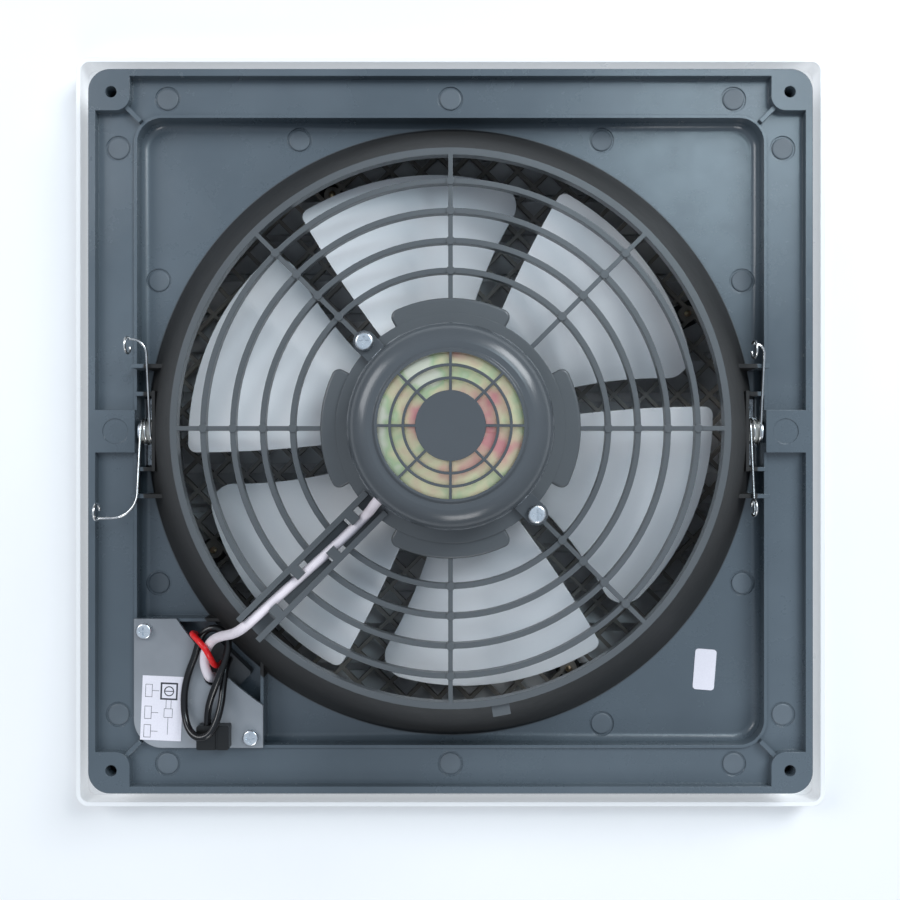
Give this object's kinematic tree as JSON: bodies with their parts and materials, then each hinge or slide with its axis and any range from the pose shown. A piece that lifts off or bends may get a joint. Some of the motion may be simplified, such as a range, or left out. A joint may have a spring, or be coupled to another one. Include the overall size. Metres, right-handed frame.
{
  "type": "ceiling exhaust fan",
  "caption": "Square flush ceiling exhaust fan: louvred front panel on torsion springs, moulded frame with a conical duct collar, ring guard, capped motor and bladed impeller.",
  "frame": {"origin": "centre of the front panel's room face, on the fan's axis", "axes": "+Z from the room into the duct, along the fan's axis; +Y away from the terminal box; +X away from the terminal box, along the louvre slats"},
  "size_m": [0.372, 0.372, 0.104],
  "materials": {
    "white_panel": "moulded, semi-gloss",
    "grey_frame": "moulded, glossy slate grey",
    "grey_guard": "moulded, satin warm grey",
    "grey_cap": "moulded, semi-gloss",
    "grey_cover": "moulded, satin",
    "zinc_yellow": "yellow zinc plate with a colour sheen",
    "zinc_steel": "bright zinc plate",
    "steel": "ground steel",
    "spring_wire": "drawn spring wire",
    "pale_impeller": "moulded, satin pale grey",
    "copper_winding": "varnished copper winding",
    "pale_insulator": "moulded insulator",
    "black_plastic": "moulded, black",
    "white_sheath": "soft white sheath",
    "red_sheath": "red insulation",
    "black_sheath": "glossy black sheath",
    "paper_label": "white paper sticker"
  },
  "bodies": {
    "frame": {"base_frame": "grey_frame", "outlet_guard": "grey_guard", "intake_lattice": "grey_guard", "lattice_screws": "zinc_yellow", "motor_shell_front": "zinc_yellow", "motor_shell_rear": "zinc_yellow", "bearing_front": "steel", "bearing_rear": "steel", "stator_core": "steel", "stator_windings": "copper_winding", "motor_screws": "zinc_steel", "motor_cap": "grey_cap", "cap_screws": "zinc_steel", "box_cover": "grey_cover", "box_screws": "zinc_steel", "terminal_block": "pale_insulator", "run_capacitor": "black_plastic", "supply_connector": "black_plastic", "motor_lead": "white_sheath", "capacitor_lead": "red_sheath", "supply_lead": "black_sheath", "wiring_label": "paper_label", "blank_sticker": "paper_label"},
    "rotor": {"impeller": "pale_impeller", "rotor_shaft": "steel", "drive_pin": "steel", "impeller_washer": "zinc_steel", "impeller_nut": "zinc_steel", "rotor_core": "steel"},
    "panel": {"front_panel": "white_panel", "spring_holder_left": "zinc_steel", "spring_holder_right": "zinc_steel", "spring_pins": "pale_insulator", "holder_screws": "zinc_steel", "spring_coil_left": "spring_wire", "spring_coil_right": "spring_wire"},
    "arm_left_upper": {"spring_arm_left_upper": "spring_wire"},
    "arm_left_lower": {"spring_arm_left_lower": "spring_wire"},
    "arm_right_upper": {"spring_arm_right_upper": "spring_wire"},
    "arm_right_lower": {"spring_arm_right_lower": "spring_wire"}
  },
  "joints": [
    {"name": "impeller_spin", "type": "hinge", "parent": "frame", "child": "rotor", "pos_m": [0, 0, 0.045], "axis": [0, 0, 1], "continuous": true},
    {"name": "panel_drop", "type": "slide", "parent": "frame", "child": "panel", "axis": [0, 0, -1], "range_m": [0, 0.025], "stiffness_N_per_m": 400},
    {"name": "left_upper_fold", "type": "hinge", "parent": "panel", "child": "arm_left_upper", "pos_m": [-0.1473, 0, 0.02], "axis": [1, 0, 0], "range_deg": [0, 46]},
    {"name": "left_lower_fold", "type": "hinge", "parent": "panel", "child": "arm_left_lower", "pos_m": [-0.1473, 0, 0.02], "axis": [-1, 0, 0], "range_deg": [0, 46]},
    {"name": "right_upper_fold", "type": "hinge", "parent": "panel", "child": "arm_right_upper", "pos_m": [0.1473, 0, 0.02], "axis": [1, 0, 0], "range_deg": [0, 46]},
    {"name": "right_lower_fold", "type": "hinge", "parent": "panel", "child": "arm_right_lower", "pos_m": [0.1473, 0, 0.02], "axis": [-1, 0, 0], "range_deg": [0, 46]}
  ],
  "couplings": [
    {"joint": "left_upper_fold", "follows": "panel_drop", "rad_per_m": 31.416},
    {"joint": "left_lower_fold", "follows": "panel_drop", "rad_per_m": 31.416},
    {"joint": "right_upper_fold", "follows": "panel_drop", "rad_per_m": 31.416},
    {"joint": "right_lower_fold", "follows": "panel_drop", "rad_per_m": 31.416}
  ]
}
